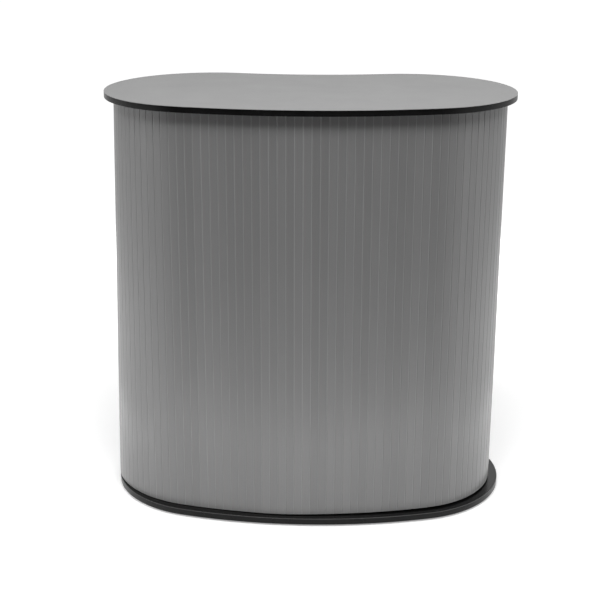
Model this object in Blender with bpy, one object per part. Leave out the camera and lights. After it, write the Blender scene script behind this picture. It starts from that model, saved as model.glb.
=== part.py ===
"""Portable reception desk with a kidney-shaped top, a roll-up slatted wrap and a kidney-shaped base.

Lengths are metres, +Z is up, the public side faces -Y and the open staff side faces +Y.
The origin lies on the floor under the middle of the desk.
"""

import math

import bmesh
import bpy
from mathutils import Vector

# Driving dimensions of the whole desk
WIDTH = 0.970
HEIGHT = 1.000
END_RADIUS = 0.250
FRONT_BULGE = 0.032
BACK_HOLLOW = 0.025

# Gap that touching pieces keep, and the overrun of every cutter
GAP = 0.0003
OVERRUN = 0.002

# Boards and their edge bands; the laminate of the top covers its board and its band
TOP_THICKNESS = 0.0143
LAMINATE_THICKNESS = 0.001
LAMINATE_ROUND = 0.0007
BASE_THICKNESS = 0.015
BAND_THICKNESS = 0.002
BAND_ROUND = 0.0008
PLATE_THICKNESS = 0.018

# Shelf
SHELF_HEIGHT = 0.500
SHELF_THICKNESS = 0.016
SHELF_INSET = 0.040
SHELF_ROUND = 0.002

# Slatted wrap: its foot spreads to the left over the edge of the base
WRAP_INSET = 0.022
WRAP_HEAD_GAP = 0.001
WRAP_FOOT_SPREAD = 0.021
SLAT_PITCH = 0.01915
SLAT_THICKNESS = 0.004
JOINT_WIDTH = 0.0016
JOINT_DEPTH = 0.0010
HINGE_THICKNESS = 0.0006
BACKING_THICKNESS = 0.0008

# Channel that closes each end of the wrap
STILE_WALL = 0.0015
STILE_GRIP = 0.012
STILE_END_CLEARANCE = 0.001

# Hook tape on the edge of each locating plate
TAPE_THICKNESS = 0.0015
TAPE_WIDTH = 0.015

# Posts, each in a lower and an upper length
POST_DIAMETER = 0.030
POST_WALL = 0.0015
POST_INSET = 0.070
POST_ANGLE = math.radians(60)

# Flanged spigots that hold the posts to the base and to the top
SPIGOT_LENGTH = 0.030
SPIGOT_TAPER = 0.0015
FLANGE_DIAMETER = 0.060
FLANGE_THICKNESS = 0.004
FLANGE_ROUND = 0.001

# Plugs and studs that clamp the shelf between the post lengths
PLUG_LENGTH = 0.022
COLLAR_THICKNESS = 0.002
STUD_DIAMETER = 0.012
STUD_REACH = 0.014
STUD_POINT = 0.0015
STUD_CLEARANCE = 0.0006

# Feet
FOOT_DIAMETER = 0.028
FOOT_HEIGHT = 0.004
FOOT_ROUND = 0.001
FOOT_INSET = 0.045
FOOT_ANGLE = math.radians(48)
FOOT_RECESS_DIAMETER = 0.010
FOOT_RECESS_DEPTH = 0.002

# How finely the round forms are divided
TUBE_SIDES = 24
PLUG_SIDES = 16
FOOT_SIDES = 16
ROUND_STEPS = 1

# Outline of every board: two end circles joined by a bulging front and a hollow back
END_CENTRE = WIDTH / 2 - END_RADIUS
FRONT_CENTRE = (END_CENTRE ** 2 - FRONT_BULGE ** 2) / (2 * FRONT_BULGE)
FRONT_RADIUS = FRONT_CENTRE + END_RADIUS + FRONT_BULGE
BACK_CENTRE = (END_CENTRE ** 2 - BACK_HOLLOW ** 2) / (2 * BACK_HOLLOW)
BACK_RADIUS = BACK_CENTRE - END_RADIUS + BACK_HOLLOW
MIDDLE_Y = FRONT_BULGE / 2
FRONT_LEAN = math.atan2(END_CENTRE, FRONT_CENTRE)
BACK_LEAN = math.atan2(END_CENTRE, BACK_CENTRE)
QUARTER = math.pi / 2

# Arcs of the outline, anticlockwise from its left end: the centre, the radius, what an inset adds
# to the radius, and the angles where the arc starts and stops
END_SWEEP = math.pi - FRONT_LEAN
FRONT_START = QUARTER + END_SWEEP
FRONT_STOP = FRONT_START + 2 * FRONT_LEAN
LEFT_CENTRE = (-END_CENTRE, MIDDLE_Y)
RIGHT_CENTRE = (END_CENTRE, MIDDLE_Y)
WRAPPED_ARCS = [
    (LEFT_CENTRE, END_RADIUS, -1, QUARTER, FRONT_START),
    ((0, MIDDLE_Y + FRONT_CENTRE), FRONT_RADIUS, -1, FRONT_START, FRONT_STOP),
    (RIGHT_CENTRE, END_RADIUS, -1, FRONT_STOP, FRONT_STOP + END_SWEEP),
]
OPEN_ARCS = [
    (RIGHT_CENTRE, END_RADIUS, -1, QUARTER, QUARTER + BACK_LEAN),
    ((0, MIDDLE_Y + BACK_CENTRE), BACK_RADIUS, 1, BACK_LEAN - QUARTER, -BACK_LEAN - QUARTER),
    (LEFT_CENTRE, END_RADIUS, -1, QUARTER - BACK_LEAN, QUARTER),
]

# Depths below the edge of the boards
WRAP_THICKNESS = SLAT_THICKNESS + GAP + BACKING_THICKNESS
WRAP_BACK_INSET = WRAP_INSET + WRAP_THICKNESS
PLATE_INSET = WRAP_BACK_INSET + GAP + max(TAPE_THICKNESS, STILE_WALL) + GAP
WRAP_END_RADIUS = END_RADIUS - WRAP_INSET

# Heights, from the floor up
BASE_LOW = FOOT_HEIGHT + GAP
BASE_HIGH = BASE_LOW + BASE_THICKNESS
BASE_PLATE_LOW = BASE_HIGH + GAP
BASE_PLATE_HIGH = BASE_PLATE_LOW + PLATE_THICKNESS
BASE_FLANGE_LOW = BASE_PLATE_HIGH + GAP
LOWER_POST_LOW = BASE_FLANGE_LOW + FLANGE_THICKNESS + GAP
LOWER_COLLAR_LOW = SHELF_HEIGHT - GAP - COLLAR_THICKNESS
LOWER_POST_HIGH = LOWER_COLLAR_LOW - GAP
UPPER_COLLAR_LOW = SHELF_HEIGHT + SHELF_THICKNESS + GAP
UPPER_POST_LOW = UPPER_COLLAR_LOW + COLLAR_THICKNESS + GAP
TOP_LOW = HEIGHT - TOP_THICKNESS
LAMINATE_LOW = HEIGHT - LAMINATE_THICKNESS
TOP_HIGH = LAMINATE_LOW - GAP
TOP_PLATE_HIGH = TOP_LOW - GAP
TOP_PLATE_LOW = TOP_PLATE_HIGH - PLATE_THICKNESS
TOP_FLANGE_HIGH = TOP_PLATE_LOW - GAP
UPPER_POST_HIGH = TOP_FLANGE_HIGH - FLANGE_THICKNESS - GAP
WRAP_LOW = BASE_HIGH + GAP
WRAP_HIGH = TOP_LOW - WRAP_HEAD_GAP

# Radii of the round pieces
POST_RADIUS = POST_DIAMETER / 2
BORE_RADIUS = POST_RADIUS - POST_WALL
PLUG_RADIUS = BORE_RADIUS - GAP
STUD_RADIUS = STUD_DIAMETER / 2
STUD_HOLE_RADIUS = STUD_RADIUS + STUD_CLEARANCE
FLANGE_RADIUS = FLANGE_DIAMETER / 2
FOOT_RADIUS = FOOT_DIAMETER / 2
FOOT_RECESS_RADIUS = FOOT_RECESS_DIAMETER / 2

# Colours (linear RGB), roughness and metallic value of each finish
FINISHES = {
    "grey_laminate": ((0.30, 0.30, 0.30), 0.55, 0.0),
    "black_edging": ((0.012, 0.012, 0.012), 0.35, 0.0),
    "grey_slats": ((0.20, 0.20, 0.20), 0.38, 0.0),
    "pale_backing": ((0.42, 0.42, 0.41), 0.90, 0.0),
    "black_board": ((0.020, 0.020, 0.020), 0.50, 0.0),
    "grey_channel": ((0.16, 0.16, 0.16), 0.40, 0.0),
    "black_tape": ((0.015, 0.015, 0.015), 0.95, 0.0),
    "satin_aluminium": ((0.60, 0.60, 0.61), 0.32, 1.0),
    "zinc_steel": ((0.48, 0.48, 0.49), 0.38, 1.0),
    "black_plastic": ((0.025, 0.025, 0.025), 0.45, 0.0),
    "black_rubber": ((0.018, 0.018, 0.018), 0.85, 0.0),
}


# Scene and materials

def clear_scene():
    """Remove every object of the open scene."""
    for thing in list(bpy.data.objects):
        bpy.data.objects.remove(thing, do_unlink=True)


def finish(name):
    """Return the named material, made once."""
    material = bpy.data.materials.get(name)
    if material:
        return material
    colour, roughness, metallic = FINISHES[name]
    material = bpy.data.materials.new(name)
    material.use_nodes = True
    shader = material.node_tree.nodes["Principled BSDF"]
    shader.inputs["Base Color"].default_value = (*colour, 1.0)
    shader.inputs["Roughness"].default_value = roughness
    shader.inputs["Metallic"].default_value = metallic
    material.diffuse_color = (*colour, 1.0)
    return material


def add_object(name, bm, finish_name, place=(0, 0, 0), sharp_angle=None):
    """Turn a bmesh into an object with its finish; round pieces are shaded smooth."""
    bmesh.ops.recalc_face_normals(bm, faces=bm.faces)
    mesh = bpy.data.meshes.new(name)
    bm.to_mesh(mesh)
    bm.free()
    if sharp_angle is not None:
        mesh.shade_smooth()
        mesh.set_sharp_from_angle(angle=sharp_angle)
    thing = bpy.data.objects.new(name, mesh)
    thing.location = place
    bpy.context.scene.collection.objects.link(thing)
    mesh.materials.append(finish(finish_name))
    return thing


# Outlines

def wrap_stations():
    """Arc and angle of each end and joint of the wrap, a slat apart along its face."""
    lengths = [(radius - WRAP_INSET) * (stop - start)
               for _, radius, _, start, stop in WRAPPED_ARCS]
    slats = math.floor(sum(lengths) / SLAT_PITCH)
    margin = (sum(lengths) - slats * SLAT_PITCH) / 2
    stations = []
    for number in range(slats + 1):
        distance = margin + number * SLAT_PITCH
        which = 0
        while distance > lengths[which]:
            distance -= lengths[which]
            which += 1
        _, radius, _, start, _ = WRAPPED_ARCS[which]
        stations.append((WRAPPED_ARCS[which], start + distance / (radius - WRAP_INSET)))
    return stations


def open_stations():
    """Arc and angle of the outline's divisions past the wrap, about a slat apart."""
    stations = []
    for arc in OPEN_ARCS:
        _, radius, _, start, stop = arc
        steps = max(1, round(abs(stop - start) * radius / SLAT_PITCH))
        stations += [(arc, start + (stop - start) * step / steps) for step in range(steps)]
    stations.append((OPEN_ARCS[-1], QUARTER))
    return stations


def points_at(stations, inset):
    """The points of an outline that lies inset from the edge."""
    points = []
    for (centre, radius, growth, _, _), angle in stations:
        reach = radius + growth * inset
        points.append(Vector((centre[0] + reach * math.cos(angle),
                              centre[1] + reach * math.sin(angle))))
    return points


def wrapped_part(inset):
    """The stretch of an outline that the wrap covers, from its left end to its right end."""
    return points_at(wrap_stations(), inset)


def outline(inset):
    """Kidney outline lying inset from the edge, anticlockwise from the wrap's left end.

    Every outline is divided alike, so the faces of nested pieces stay parallel.
    """
    return wrapped_part(inset) + points_at(open_stations(), inset)


def closed_cells(outer, inner):
    """Four-sided cells between two closed outlines."""
    count = len(outer)
    return [[outer[i], outer[(i + 1) % count], inner[(i + 1) % count], inner[i]]
            for i in range(count)]


def strip_cells(outer, inner):
    """Four-sided cells between two open lines."""
    return [[outer[i], outer[i + 1], inner[i + 1], inner[i]] for i in range(len(outer) - 1)]


# Solids

def raise_cells(cells, low, high):
    """Join flat cells at one height and extrude them to another."""
    bm = bmesh.new()
    for cell in cells:
        bm.faces.new([bm.verts.new((point.x, point.y, low)) for point in cell])
    bmesh.ops.remove_doubles(bm, verts=bm.verts, dist=GAP / 10)
    raised = bmesh.ops.extrude_face_region(bm, geom=bm.faces[:])
    moved = [item for item in raised["geom"] if isinstance(item, bmesh.types.BMVert)]
    bmesh.ops.translate(bm, verts=moved, vec=(0, 0, high - low))
    return bm


def round_rim(bm, rim, heights, size):
    """Round the edges that run level along an outline at the given heights."""
    spots = {(round(point.x, 6), round(point.y, 6)) for point in rim}

    def on_rim(vertex):
        at_height = any(abs(vertex.co.z - height) < size / 10 for height in heights)
        return at_height and (round(vertex.co.x, 6), round(vertex.co.y, 6)) in spots

    def runs_level(edge):
        return abs(edge.verts[0].co.z - edge.verts[1].co.z) < size / 10

    edges = [edge for edge in bm.edges
             if runs_level(edge) and on_rim(edge.verts[0]) and on_rim(edge.verts[1])
             and edge.calc_face_angle(0) > QUARTER / 2]
    bmesh.ops.bevel(bm, geom=edges, offset=size, offset_type="OFFSET", segments=ROUND_STEPS,
                    profile=0.5, affect="EDGES", clamp_overlap=True)


def spread_foot(bm):
    """Draw the left end of the wrap outwards at its foot; its head and its stile stay put."""
    for vertex in bm.verts:
        beyond = -vertex.co.x - END_CENTRE
        if beyond > 0:
            share = (WRAP_HIGH - vertex.co.z) / (WRAP_HIGH - WRAP_LOW)
            vertex.co.x -= share * WRAP_FOOT_SPREAD * (beyond / WRAP_END_RADIUS) ** 2
    split_sides(bm)


def split_sides(bm):
    """Split the upright faces, which the spread has warped, all along the same diagonal.

    Nested faces that are split alike keep their gap.
    """
    bm.normal_update()
    centre = Vector((-END_CENTRE, MIDDLE_Y))
    for face in [face for face in bm.faces if abs(face.normal.z) < math.sin(QUARTER / 2)]:
        low = [vertex for vertex in face.verts if vertex.co.z < WRAP_HIGH - GAP]
        high = [vertex for vertex in face.verts if vertex not in low]
        first, second = (vertex.co.xy - centre for vertex in low)
        start = low[0] if first.cross(second) > 0 else low[1]
        stop = next(vertex for vertex in high if not any(edge.other_vert(start) is vertex
                                                         for edge in start.link_edges))
        bmesh.utils.face_split(face, start, stop)


def turned(name, profile, sides, finish_name, place):
    """Revolve a closed profile of (radius, height) pairs about the vertical."""
    bm = bmesh.new()
    verts = [bm.verts.new((radius, 0, height)) for radius, height in profile]
    edges = [bm.edges.new((verts[i - 1], verts[i])) for i in range(1, len(verts))]
    on_axis = profile[0][0] == 0 and profile[-1][0] == 0
    if not on_axis:
        edges.append(bm.edges.new((verts[-1], verts[0])))
    bmesh.ops.spin(bm, geom=verts + edges, cent=(0, 0, 0), axis=(0, 0, 1),
                   angle=2 * math.pi, steps=sides, use_merge=True)
    bmesh.ops.remove_doubles(bm, verts=bm.verts, dist=GAP / 10)
    return add_object(name, bm, finish_name, place, sharp_angle=math.radians(35))


# Boards

def make_board(name, inset, low, high, finish_name, round_heights=(), rim_round=0.0):
    """A flat board with the kidney outline, its rim rounded at the given heights."""
    edge = outline(inset)
    bm = raise_cells([edge], low, high)
    if round_heights:
        round_rim(bm, edge, round_heights, rim_round)
    return add_object(name, bm, finish_name)


def make_band(name, low, high, round_heights):
    """The edge band round a board, its outer corners eased at the given heights."""
    outer = outline(0)
    bm = raise_cells(closed_cells(outer, outline(BAND_THICKNESS)), low, high)
    round_rim(bm, outer, round_heights, BAND_ROUND)
    return add_object(name, bm, "black_edging")


def make_top():
    """The top: a banded board under a sheet of laminate, and its locating plate."""
    make_board("top_board", BAND_THICKNESS + GAP, TOP_LOW, TOP_HIGH, "black_board")
    make_band("top_edge_band", TOP_LOW, TOP_HIGH, [TOP_LOW])
    make_board("top_laminate", 0, LAMINATE_LOW, HEIGHT, "grey_laminate", [HEIGHT], LAMINATE_ROUND)
    make_board("top_locating_plate", PLATE_INSET, TOP_PLATE_LOW, TOP_PLATE_HIGH, "black_board")


def make_base():
    """The base: a banded board and its locating plate."""
    make_board("base_board", BAND_THICKNESS + GAP, BASE_LOW, BASE_HIGH, "black_board")
    make_band("base_edge_band", BASE_LOW, BASE_HIGH, [BASE_LOW, BASE_HIGH])
    make_board("base_locating_plate", PLATE_INSET, BASE_PLATE_LOW, BASE_PLATE_HIGH, "black_board")


def make_shelf():
    """The shelf, with a clearance hole for the stud of each post."""
    shelf_high = SHELF_HEIGHT + SHELF_THICKNESS
    shelf = make_board("shelf", SHELF_INSET, SHELF_HEIGHT, shelf_high, "black_board",
                       [SHELF_HEIGHT, shelf_high], SHELF_ROUND)
    for name, spot in post_spots().items():
        bm = bmesh.new()
        bmesh.ops.create_cone(bm, cap_ends=True, segments=PLUG_SIDES,
                              radius1=STUD_HOLE_RADIUS, radius2=STUD_HOLE_RADIUS,
                              depth=SHELF_THICKNESS + 2 * OVERRUN)
        cutter = add_object("shelf_hole_" + name, bm, "black_board",
                            (spot.x, spot.y, SHELF_HEIGHT + SHELF_THICKNESS / 2))
        cutter.hide_render = True
        cutter.display_type = "WIRE"
        cut = shelf.modifiers.new("hole_" + name, "BOOLEAN")
        cut.operation = "DIFFERENCE"
        cut.solver = "EXACT"
        cut.object = cutter
    return shelf


# Slatted wrap

def slat_cells():
    """One cell for each slat, with half of a joint along each side.

    A joint is a groove in the face and a deeper one in the back, with a thin hinge between them.
    """
    face = wrapped_part(WRAP_INSET)
    hinge = wrapped_part(WRAP_INSET + JOINT_DEPTH)
    hinge_back = wrapped_part(WRAP_INSET + JOINT_DEPTH + HINGE_THICKNESS)
    back = wrapped_part(WRAP_INSET + SLAT_THICKNESS)
    last = len(face) - 1
    cells = []
    for i in range(last):
        half = (face[i + 1] - face[i]).normalized() * JOINT_WIDTH / 2
        start = [back[i] + half, hinge_back[i], hinge[i], face[i] + half]
        stop = [face[i + 1] - half, hinge[i + 1], hinge_back[i + 1], back[i + 1] - half]
        if i == 0:
            start = [back[i], face[i]]
        if i + 1 == last:
            stop = [face[i + 1], back[i + 1]]
        cells.append(start + stop)
    return cells


def stile_cells(end, inward):
    """Cells of the channel that grips an end of the wrap.

    end is the last point of the wrap's face, and inward the point one slat before it.
    """
    along = (end - inward).normalized()
    deep = Vector((along.y, -along.x))
    if deep.dot(Vector((0, MIDDLE_Y)) - end) < 0:
        deep = -deep

    def spot(reach, depth):
        return end + along * reach + deep * depth

    lip = -STILE_GRIP
    slot = STILE_END_CLEARANCE
    nose = slot + STILE_WALL
    outside = -GAP - STILE_WALL
    face = -GAP
    back = WRAP_THICKNESS + GAP
    inside = back + STILE_WALL
    return [
        [spot(lip, outside), spot(slot, outside), spot(slot, face), spot(lip, face)],
        [spot(slot, outside), spot(nose, outside), spot(nose, inside), spot(slot, inside),
         spot(slot, back), spot(slot, face)],
        [spot(slot, inside), spot(lip, inside), spot(lip, back), spot(slot, back)],
    ]


def make_wrap():
    """Hinged slats, the cloth bonded to their back, and a channel on each end."""
    face = wrapped_part(WRAP_INSET)
    cloth = wrapped_part(WRAP_INSET + SLAT_THICKNESS + GAP)
    cloth_back = wrapped_part(WRAP_BACK_INSET)
    pieces = {
        "wrap_slats": (slat_cells(), "grey_slats"),
        "wrap_backing": (strip_cells(cloth, cloth_back), "pale_backing"),
        "left_wrap_stile": (stile_cells(face[0], face[1]), "grey_channel"),
        "right_wrap_stile": (stile_cells(face[-1], face[-2]), "grey_channel"),
    }
    for name, (cells, finish_name) in pieces.items():
        bm = raise_cells(cells, WRAP_LOW, WRAP_HIGH)
        spread_foot(bm)
        add_object(name, bm, finish_name)


def make_tape(name, plate_low):
    """Hook tape on the edge of a locating plate, along the wrap and clear of its stiles."""
    inner = wrapped_part(PLATE_INSET - GAP)[1:-1]
    outer = wrapped_part(PLATE_INSET - GAP - TAPE_THICKNESS)[1:-1]
    low = plate_low + (PLATE_THICKNESS - TAPE_WIDTH) / 2
    bm = raise_cells(strip_cells(outer, inner), low, low + TAPE_WIDTH)
    add_object(name, bm, "black_tape")


# Posts and what joins them

def post_spots():
    """Where the posts stand, by name."""
    reach = END_RADIUS - POST_INSET
    across = END_CENTRE + reach * math.cos(POST_ANGLE)
    along = reach * math.sin(POST_ANGLE)
    return {
        "front_left": Vector((-across, MIDDLE_Y - along)),
        "front_right": Vector((across, MIDDLE_Y - along)),
        "back_left": Vector((-across, MIDDLE_Y + along)),
        "back_right": Vector((across, MIDDLE_Y + along)),
    }


def tube_profile(length):
    return [(BORE_RADIUS, 0), (POST_RADIUS, 0), (POST_RADIUS, length), (BORE_RADIUS, length)]


def spigot_profile():
    """A flange with a spigot standing on it, its end eased to find the tube."""
    height = FLANGE_THICKNESS + SPIGOT_LENGTH
    return [
        (0, 0),
        (FLANGE_RADIUS, 0),
        (FLANGE_RADIUS, FLANGE_THICKNESS - FLANGE_ROUND),
        (FLANGE_RADIUS - FLANGE_ROUND, FLANGE_THICKNESS),
        (PLUG_RADIUS, FLANGE_THICKNESS),
        (PLUG_RADIUS, height - SPIGOT_TAPER),
        (PLUG_RADIUS - SPIGOT_TAPER, height),
        (0, height),
    ]


def stud_profile():
    """A plug, its collar, and the stud that passes through the shelf."""
    collar = PLUG_LENGTH
    shoulder = collar + COLLAR_THICKNESS
    tip = shoulder + GAP + SHELF_THICKNESS + GAP + STUD_REACH
    return [
        (0, 0),
        (PLUG_RADIUS, 0),
        (PLUG_RADIUS, collar),
        (POST_RADIUS, collar),
        (POST_RADIUS, shoulder),
        (STUD_RADIUS, shoulder),
        (STUD_RADIUS, tip - STUD_POINT),
        (STUD_RADIUS - STUD_POINT, tip),
        (0, tip),
    ]


def socket_profile():
    """A plug with a collar under it and a blind hole for the stud."""
    depth = STUD_REACH + 2 * STUD_CLEARANCE
    top = COLLAR_THICKNESS + PLUG_LENGTH
    return [
        (0, depth),
        (STUD_HOLE_RADIUS, depth),
        (STUD_HOLE_RADIUS, 0),
        (POST_RADIUS, 0),
        (POST_RADIUS, COLLAR_THICKNESS),
        (PLUG_RADIUS, COLLAR_THICKNESS),
        (PLUG_RADIUS, top),
        (0, top),
    ]


def make_posts():
    """Four posts: base spigot, lower length, stud, upper length, socket and top spigot."""
    hanging = [(radius, -height) for radius, height in reversed(spigot_profile())]
    lower_length = LOWER_POST_HIGH - LOWER_POST_LOW
    upper_length = UPPER_POST_HIGH - UPPER_POST_LOW
    pieces = [
        ("base_spigot_", spigot_profile(), BASE_FLANGE_LOW, PLUG_SIDES, "zinc_steel"),
        ("lower_post_", tube_profile(lower_length), LOWER_POST_LOW, TUBE_SIDES, "satin_aluminium"),
        ("post_stud_", stud_profile(), LOWER_COLLAR_LOW - PLUG_LENGTH, PLUG_SIDES, "zinc_steel"),
        ("post_socket_", socket_profile(), UPPER_COLLAR_LOW, PLUG_SIDES, "black_plastic"),
        ("upper_post_", tube_profile(upper_length), UPPER_POST_LOW, TUBE_SIDES, "satin_aluminium"),
        ("top_spigot_", hanging, TOP_FLANGE_HIGH, PLUG_SIDES, "zinc_steel"),
    ]
    for spot_name, spot in post_spots().items():
        for name, profile, height, sides, finish_name in pieces:
            turned(name + spot_name, profile, sides, finish_name, (spot.x, spot.y, height))


# Feet

def foot_spots():
    """Six feet: two under each end and one under the middle of the front and of the back."""
    reach = END_RADIUS - FOOT_INSET
    across = END_CENTRE + reach * math.cos(FOOT_ANGLE)
    along = reach * math.sin(FOOT_ANGLE)
    return {
        "front_left": (-across, MIDDLE_Y - along),
        "front_middle": (0, MIDDLE_Y - reach - FRONT_BULGE),
        "front_right": (across, MIDDLE_Y - along),
        "back_right": (across, MIDDLE_Y + along),
        "back_middle": (0, MIDDLE_Y + reach - BACK_HOLLOW),
        "back_left": (-across, MIDDLE_Y + along),
    }


def make_feet():
    """Round rubber feet, each with a recess for its screw."""
    profile = [
        (0, FOOT_RECESS_DEPTH),
        (FOOT_RECESS_RADIUS, FOOT_RECESS_DEPTH),
        (FOOT_RECESS_RADIUS, 0),
        (FOOT_RADIUS - FOOT_ROUND, 0),
        (FOOT_RADIUS, FOOT_ROUND),
        (FOOT_RADIUS, FOOT_HEIGHT),
        (0, FOOT_HEIGHT),
    ]
    for name, (x, y) in foot_spots().items():
        turned("foot_" + name, profile, FOOT_SIDES, "black_rubber", (x, y, 0))


def build():
    clear_scene()
    make_base()
    make_feet()
    make_shelf()
    make_posts()
    make_top()
    make_wrap()
    make_tape("base_hook_tape", BASE_PLATE_LOW)
    make_tape("top_hook_tape", TOP_PLATE_LOW)


build()
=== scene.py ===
"""Looks of the portable reception desk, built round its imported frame.

Lengths are metres in the frame's own coordinates: +Z is up, the public side faces -Y and the
open staff side faces +Y.
"""

import math
import random

import bmesh
import bpy
from mathutils import Matrix, Vector, noise


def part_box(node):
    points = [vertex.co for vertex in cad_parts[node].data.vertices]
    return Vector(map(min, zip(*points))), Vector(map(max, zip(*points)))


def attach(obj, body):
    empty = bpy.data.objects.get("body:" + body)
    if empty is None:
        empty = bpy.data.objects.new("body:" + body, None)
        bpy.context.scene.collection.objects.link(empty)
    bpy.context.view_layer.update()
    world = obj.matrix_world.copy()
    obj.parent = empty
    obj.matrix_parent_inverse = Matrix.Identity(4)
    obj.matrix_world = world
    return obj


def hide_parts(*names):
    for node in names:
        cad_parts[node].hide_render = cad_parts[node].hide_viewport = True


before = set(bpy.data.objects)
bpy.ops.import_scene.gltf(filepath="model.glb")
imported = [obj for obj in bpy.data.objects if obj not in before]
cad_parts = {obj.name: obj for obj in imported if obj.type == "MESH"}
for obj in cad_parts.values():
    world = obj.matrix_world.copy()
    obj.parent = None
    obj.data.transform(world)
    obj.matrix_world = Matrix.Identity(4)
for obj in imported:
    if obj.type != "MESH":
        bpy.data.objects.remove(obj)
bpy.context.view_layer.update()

# Outline of the boards, as the frame's boards have it
WIDTH = 0.970
END_RADIUS = 0.250
FRONT_BULGE = 0.032
BACK_HOLLOW = 0.025
END_CENTRE = WIDTH / 2 - END_RADIUS
MIDDLE_Y = FRONT_BULGE / 2
FRONT_CENTRE = (END_CENTRE ** 2 - FRONT_BULGE ** 2) / (2 * FRONT_BULGE)
FRONT_RADIUS = FRONT_CENTRE + END_RADIUS + FRONT_BULGE
BACK_CENTRE = (END_CENTRE ** 2 - BACK_HOLLOW ** 2) / (2 * BACK_HOLLOW)
BACK_RADIUS = BACK_CENTRE - END_RADIUS + BACK_HOLLOW
FRONT_LEAN = math.atan2(END_CENTRE, FRONT_CENTRE)
BACK_LEAN = math.atan2(END_CENTRE, BACK_CENTRE)
QUARTER = math.pi / 2

# Wrap, as the frame has it, but with joints a little shallower
WRAP_INSET = 0.022
SLAT_PITCH = 0.01915
SLAT_THICKNESS = 0.004
JOINT_WIDTH = 0.0016
JOINT_DEPTH = 0.0007
HINGE_THICKNESS = 0.0006
BACKING_THICKNESS = 0.0008
GAP = 0.0003
FOOT_SPREAD = 0.0233
STILE_WALL = 0.0015
STILE_GRIP = 0.012
STILE_END_CLEARANCE = 0.001
WRAP_THICKNESS = SLAT_THICKNESS + GAP + BACKING_THICKNESS
WRAP_END_RADIUS = END_RADIUS - WRAP_INSET

# Arcs of the outline, anticlockwise from its left end: the centre, the radius, what an inset adds
# to the radius, and the angles where the arc starts and stops
FRONT_START = 2 * math.pi - QUARTER - FRONT_LEAN
FRONT_STOP = FRONT_START + 2 * FRONT_LEAN
LEFT_CENTRE = (-END_CENTRE, MIDDLE_Y)
RIGHT_CENTRE = (END_CENTRE, MIDDLE_Y)
WRAPPED_ARCS = [
    (LEFT_CENTRE, END_RADIUS, -1, QUARTER, FRONT_START),
    ((0, MIDDLE_Y + FRONT_CENTRE), FRONT_RADIUS, -1, FRONT_START, FRONT_STOP),
    (RIGHT_CENTRE, END_RADIUS, -1, FRONT_STOP, 2 * math.pi + QUARTER),
]
OPEN_ARCS = [
    (RIGHT_CENTRE, END_RADIUS, -1, QUARTER, QUARTER + BACK_LEAN),
    ((0, MIDDLE_Y + BACK_CENTRE), BACK_RADIUS, 1, BACK_LEAN - QUARTER, -BACK_LEAN - QUARTER),
    (LEFT_CENTRE, END_RADIUS, -1, QUARTER - BACK_LEAN, QUARTER),
]
WRAPPED_LENGTHS = [(arc[1] - WRAP_INSET) * (arc[4] - arc[3]) for arc in WRAPPED_ARCS]
SLATS = math.floor(sum(WRAPPED_LENGTHS) / SLAT_PITCH)
WRAP_MARGIN = (sum(WRAPPED_LENGTHS) - SLATS * SLAT_PITCH) / 2

# How the flexible wrap hangs: gentle waves, one bulge of its foot at the front, and a foot that
# stands off the base a little towards the right, by how much and between which places
WAVE_DEPTH = 0.0005
WAVE_SLATS = 9.0
WAVE_HEIGHT = 0.6
WAVE_SEED = 0.37
HELD_HEIGHT = 0.05
HELD_SLATS = 3.0
BULGE_DEPTH = 0.004
BULGE_X = -0.060
BULGE_WIDTH = 0.095
BULGE_HEIGHT = 0.16
FOOT_LIFTS = (0.0008, 0.0042)
LIFT_PLACES = (-0.22, 0.33)
LIFT_END_SLATS = 8.0

# Slat face: share of the true curve that it keeps, and how finely it is divided
CROWN_SHARE = 0.5
FACE_POINTS = 8
WRAP_ROWS = 28

# Slat corner: its easing, and points from the hinge to the face as shares of the easing beyond the
# joint's wall, shares of it below the face, and shares of the hinge's paleness
SLAT_CORNER = 0.0004
CORNER_POINTS = ((-0.1, 1.0, 1.0), (0.35, 0.35, 0.8), (1.0, 0.0, 0.3))

# Seed of the small differences between slats
SLAT_SEED = 11

# Pale hinges: their tone, how far each joint's colour goes towards it from the slats' grey, the share
# taken off as painted shade where the wrap bends round the ends, over how many slats it is taken off,
# the shares left at the foot and at the right, and the joints between which it falls to that at the
# right
HINGE_TONE = 0.28
JOINT_TONES = (0.27, 0.43)
JOINT_BEND_SHADE = 0.15
JOINT_BEND_SHADE_SLATS = 5.0
JOINT_FOOT_SHARE = 0.55
JOINT_RIGHT_SHARE = 0.5
JOINT_RIGHT_SLATS = (40, 66)

# Painted shade on the strip of slats under the counter's rim: its tone, and where it ends
PAINTED_SHADE_TONE = 0.78
PAINTED_SHADE_FULL = 0.018
PAINTED_SHADE_END = 0.036

# Painted highlight along the rim of the base's edging: its tone, and how far below the rim it fades in
RIM_HIGHLIGHT_TONE = 0.05
RIM_HIGHLIGHT_START = 0.0012
RIM_HIGHLIGHT_STOP = 0.0006

# Cloth of the backing: scales of its threads and of the squares in which they cross
THREAD_SCALE = 175.07
CROSS_SCALE = 350.14

# Meshes: points closer than the first are one, and edges sharper than the second stay sharp
MERGE_DISTANCE = 1e-7
SHARP_ANGLE = math.radians(38)

# Boards and bands
EDGE_STEPS = 6
FINENESS = 6
BAND_THICKNESS = 0.002
BAND_ROUND = 0.0009
LAMINATE_ROUND = 0.0008
PLATE_INSET = 0.0292
PLATE_ROUND = 0.0008
SHELF_INSET = 0.040
SHELF_ROUND = 0.0020
CAP_SUPPORT = 0.003
STUD_HOLE_RADIUS = 0.0066

# Channels on the wrap's ends
STILE_LIP_EASE = 0.0004
STILE_CORNER_EASE = 0.0012

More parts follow.
